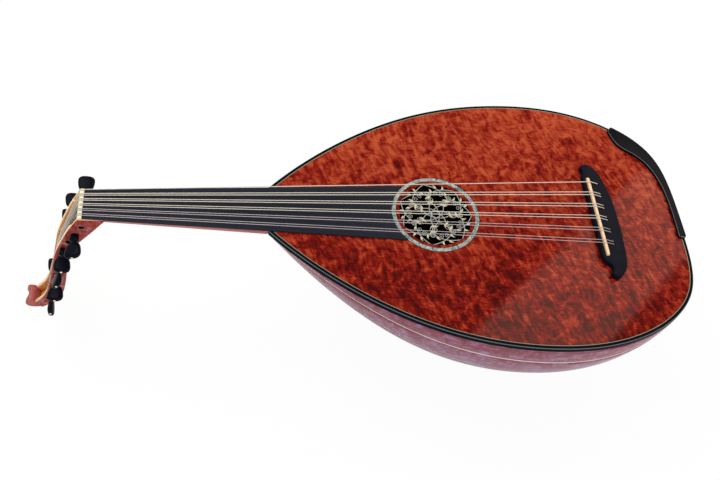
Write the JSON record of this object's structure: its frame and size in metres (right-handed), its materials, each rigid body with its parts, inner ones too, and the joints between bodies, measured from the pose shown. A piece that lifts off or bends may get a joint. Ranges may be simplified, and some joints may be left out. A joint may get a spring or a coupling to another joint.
{
  "type": "electric oud",
  "caption": "Short-necked lute with a staved bowl, a carved rose in an abalone ring, paired strings over a pickup bridge, a bent-back pegbox with turning pegs, and an output socket.",
  "frame": {"origin": "middle of the flat land worn at the deepest point of the bowl, on which the instrument lies", "axes": "+Z out of the soundboard, +X from the nut to the tail, +Y towards the bass side with the single string"},
  "size_m": [0.7881, 0.3468, 0.2181],
  "materials": {
    "soundboard": "figured red burl under clear gloss lacquer",
    "bowl_ribs": "rose-purple hardwood staves, satin lacquer",
    "black_edging": "black binding, glossy",
    "pale_purfling": "pale grey-green inlay line",
    "abalone": "abalone shell inlay, polished",
    "rose": "pierced rose, silver-grey vines with cream-gold leaves",
    "neck": "reddish hardwood, satin",
    "fingerboard": "ebony, oiled",
    "bone": "polished bone",
    "pegbox": "red-brown hardwood with a cream edge, gloss",
    "pegs": "turned ebony, polished, pale dot at the end",
    "ebony": "black, satin gloss",
    "inner_wood": "bare spruce",
    "clasp": "red-brown hardwood, satin",
    "wound_string": "silver-wound string",
    "plain_string": "clear nylon string",
    "pickup": "shielded strip",
    "jack_metal": "nickel plated",
    "lead": "black sleeve"
  },
  "bodies": {
    "instrument": {"soundboard": "soundboard", "binding": "black_edging", "edge_purfling": "pale_purfling", "rosette_ring": "abalone", "rose": "rose", "neck": "neck", "fingerboard": "fingerboard", "nut": "bone", "saddle": "bone", "pegbox_cheek_bass": "pegbox", "pegbox_cheek_treble": "pegbox", "pegbox_back": "pegbox", "finial": "pegbox", "bridge": "ebony", "armrest": "ebony", "pickup_strip": "pickup", "neck_block": "inner_wood", "tail_block": "inner_wood", "tail_clasp": "clasp", "output_jack": "jack_metal", "pickup_lead": "lead", "bowl_rib_01": "bowl_ribs", "bowl_rib_02": "bowl_ribs", "bowl_rib_03": "bowl_ribs", "bowl_rib_04": "bowl_ribs", "bowl_rib_05": "bowl_ribs", "bowl_rib_06": "bowl_ribs", "bowl_rib_07": "bowl_ribs", "bowl_rib_08": "bowl_ribs", "bowl_rib_09": "bowl_ribs", "bowl_rib_10": "bowl_ribs", "bowl_rib_11": "bowl_ribs", "bowl_rib_12": "bowl_ribs", "bowl_rib_13": "bowl_ribs", "sound_bar_1": "inner_wood", "sound_bar_2": "inner_wood", "sound_bar_3": "inner_wood", "sound_bar_4": "inner_wood", "string_01": "wound_string", "string_02": "wound_string", "string_03": "wound_string", "string_04": "wound_string", "string_05": "wound_string", "string_06": "wound_string", "string_07": "wound_string", "string_08": "plain_string", "string_09": "plain_string", "string_10": "plain_string", "string_11": "plain_string"},
    "peg_01_body": {"peg_01": "pegs"},
    "peg_02_body": {"peg_02": "pegs"},
    "peg_03_body": {"peg_03": "pegs"},
    "peg_04_body": {"peg_04": "pegs"},
    "peg_05_body": {"peg_05": "pegs"},
    "peg_06_body": {"peg_06": "pegs"},
    "peg_07_body": {"peg_07": "pegs"},
    "peg_08_body": {"peg_08": "pegs"},
    "peg_09_body": {"peg_09": "pegs"},
    "peg_10_body": {"peg_10": "pegs"},
    "peg_11_body": {"peg_11": "pegs"}
  },
  "joints": [
    {"name": "peg_01_turn", "type": "hinge", "parent": "instrument", "child": "peg_01_body", "pos_m": [-0.51579, 0, 0.1744], "axis": [0, 1, 0], "continuous": true},
    {"name": "peg_02_turn", "type": "hinge", "parent": "instrument", "child": "peg_02_body", "pos_m": [-0.52436, 0, 0.15897], "axis": [0, -1, 0], "continuous": true},
    {"name": "peg_03_turn", "type": "hinge", "parent": "instrument", "child": "peg_03_body", "pos_m": [-0.53273, 0, 0.14352], "axis": [0, 1, 0], "continuous": true},
    {"name": "peg_04_turn", "type": "hinge", "parent": "instrument", "child": "peg_04_body", "pos_m": [-0.53947, 0, 0.12717], "axis": [0, -1, 0], "continuous": true},
    {"name": "peg_05_turn", "type": "hinge", "parent": "instrument", "child": "peg_05_body", "pos_m": [-0.5449, 0, 0.11033], "axis": [0, 1, 0], "continuous": true},
    {"name": "peg_06_turn", "type": "hinge", "parent": "instrument", "child": "peg_06_body", "pos_m": [-0.549, 0, 0.09312], "axis": [0, -1, 0], "continuous": true},
    {"name": "peg_07_turn", "type": "hinge", "parent": "instrument", "child": "peg_07_body", "pos_m": [-0.55229, 0, 0.07573], "axis": [0, 1, 0], "continuous": true},
    {"name": "peg_08_turn", "type": "hinge", "parent": "instrument", "child": "peg_08_body", "pos_m": [-0.55555, 0, 0.05834], "axis": [0, -1, 0], "continuous": true},
    {"name": "peg_09_turn", "type": "hinge", "parent": "instrument", "child": "peg_09_body", "pos_m": [-0.55956, 0, 0.04111], "axis": [0, 1, 0], "continuous": true},
    {"name": "peg_10_turn", "type": "hinge", "parent": "instrument", "child": "peg_10_body", "pos_m": [-0.56455, 0, 0.02414], "axis": [0, -1, 0], "continuous": true},
    {"name": "peg_11_turn", "type": "hinge", "parent": "instrument", "child": "peg_11_body", "pos_m": [-0.57205, 0, 0.00823], "axis": [0, 1, 0], "continuous": true}
  ]
}
